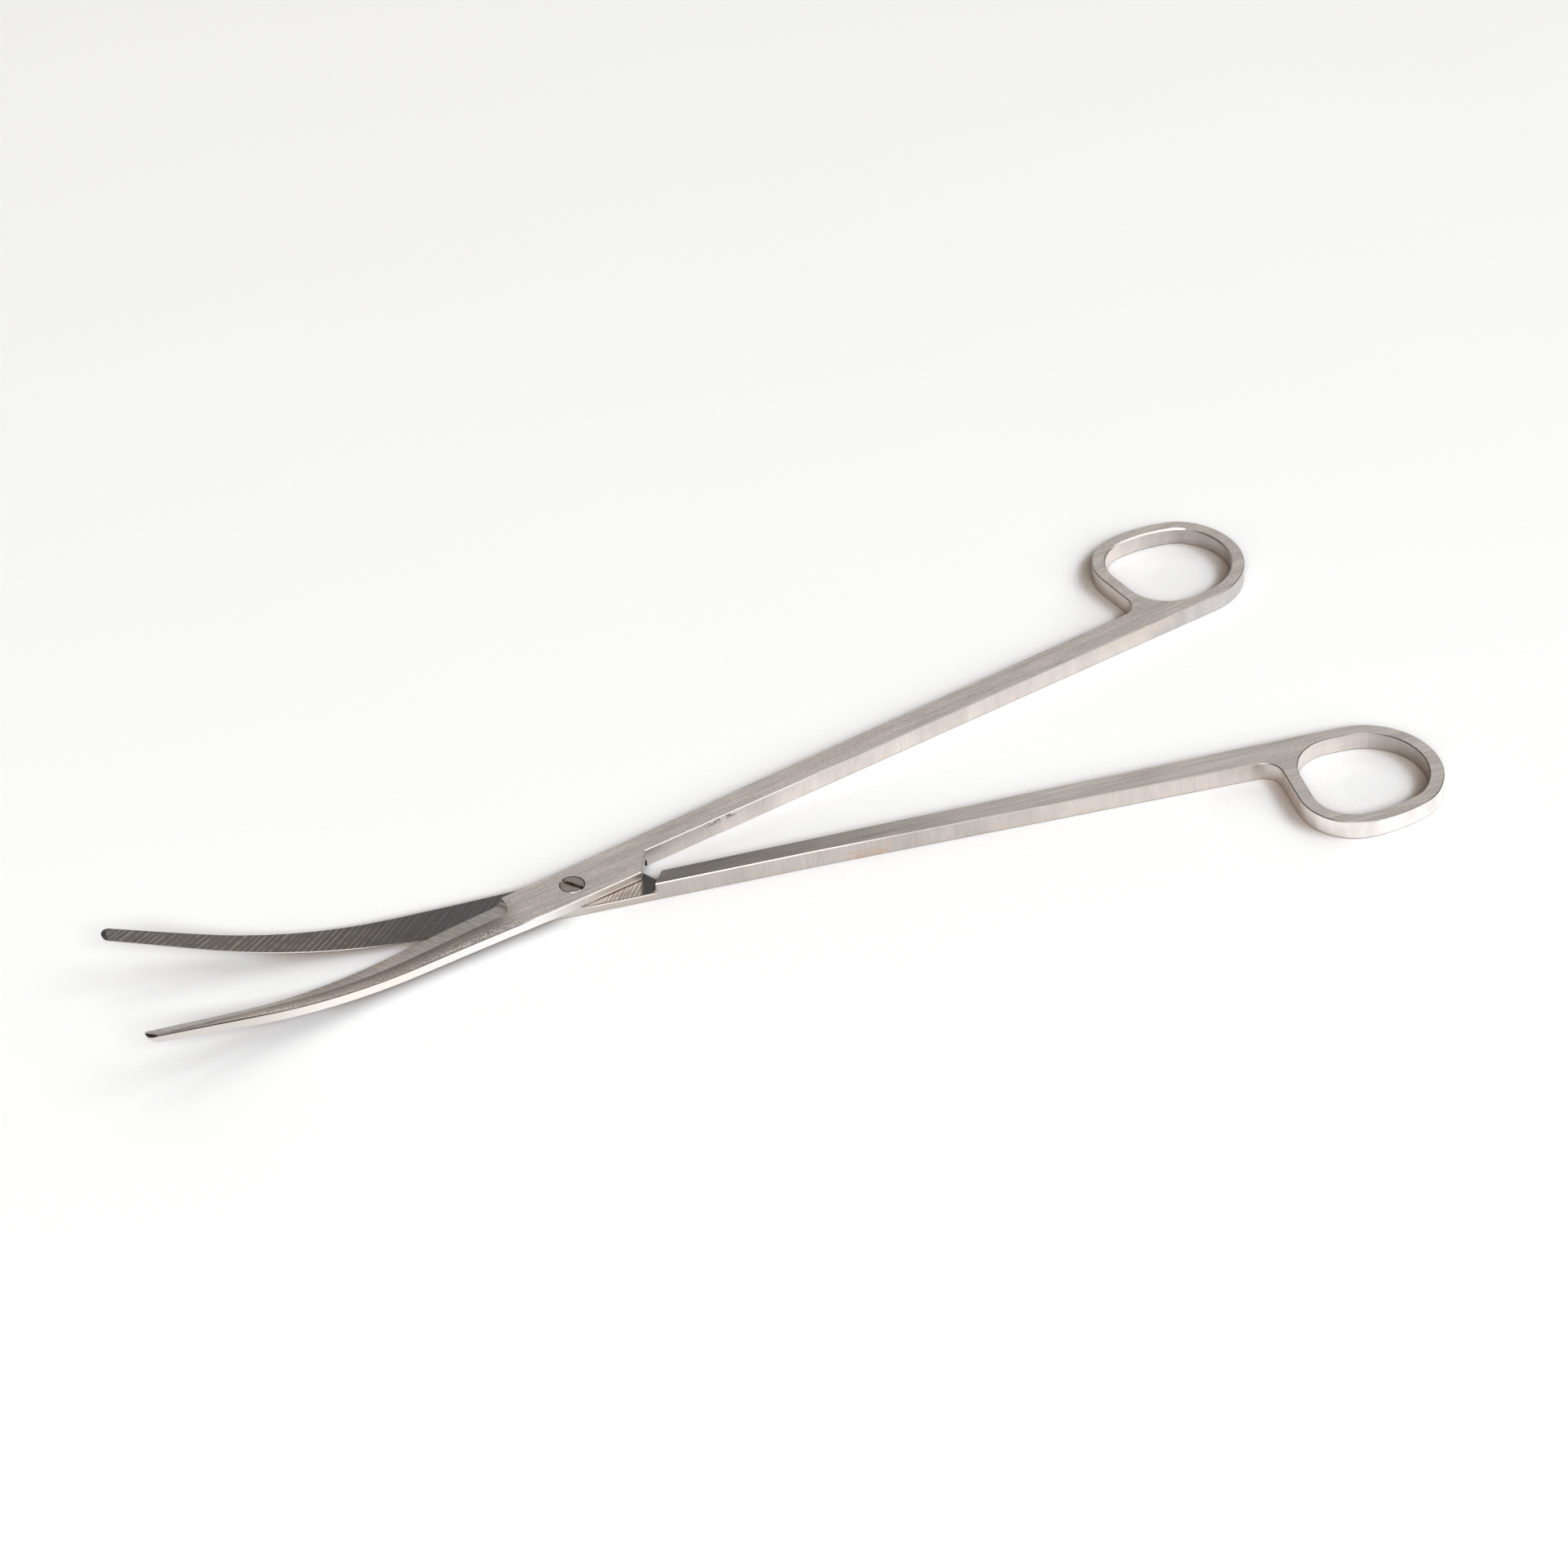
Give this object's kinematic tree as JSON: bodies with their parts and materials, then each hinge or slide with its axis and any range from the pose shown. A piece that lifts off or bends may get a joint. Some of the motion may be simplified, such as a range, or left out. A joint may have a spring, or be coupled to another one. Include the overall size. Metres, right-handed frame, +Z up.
{
  "type": "curved aquarium scissors",
  "caption": "Long steel scissors with blades that curve up, bar handles, a finger ring on each handle and a slotted pivot screw.",
  "frame": {"origin": "on the pivot screw's axis, on the plane that the handles rest on", "axes": "+Z up, away from that plane and along the pivot axis; +X along the line that halves the opening, towards the finger rings; +Y towards the upper half's finger ring"},
  "size_m": [0.2457, 0.1036, 0.0148],
  "materials": {
    "upper_steel": "satin, brushed along the handle",
    "lower_steel": "satin, brushed along the handle, inner blade face left with grinding lines",
    "screw_steel": "satin, darker than the halves"
  },
  "bodies": {
    "lower": {"lower_half": "lower_steel", "pivot_screw": "screw_steel"},
    "upper": {"upper_half": "upper_steel"}
  },
  "joints": [
    {"name": "pivot", "type": "hinge", "parent": "lower", "child": "upper", "pos_m": [0, 0, 0.0019], "axis": [0, 0, 1], "range_deg": [-18.4, 124]}
  ]
}
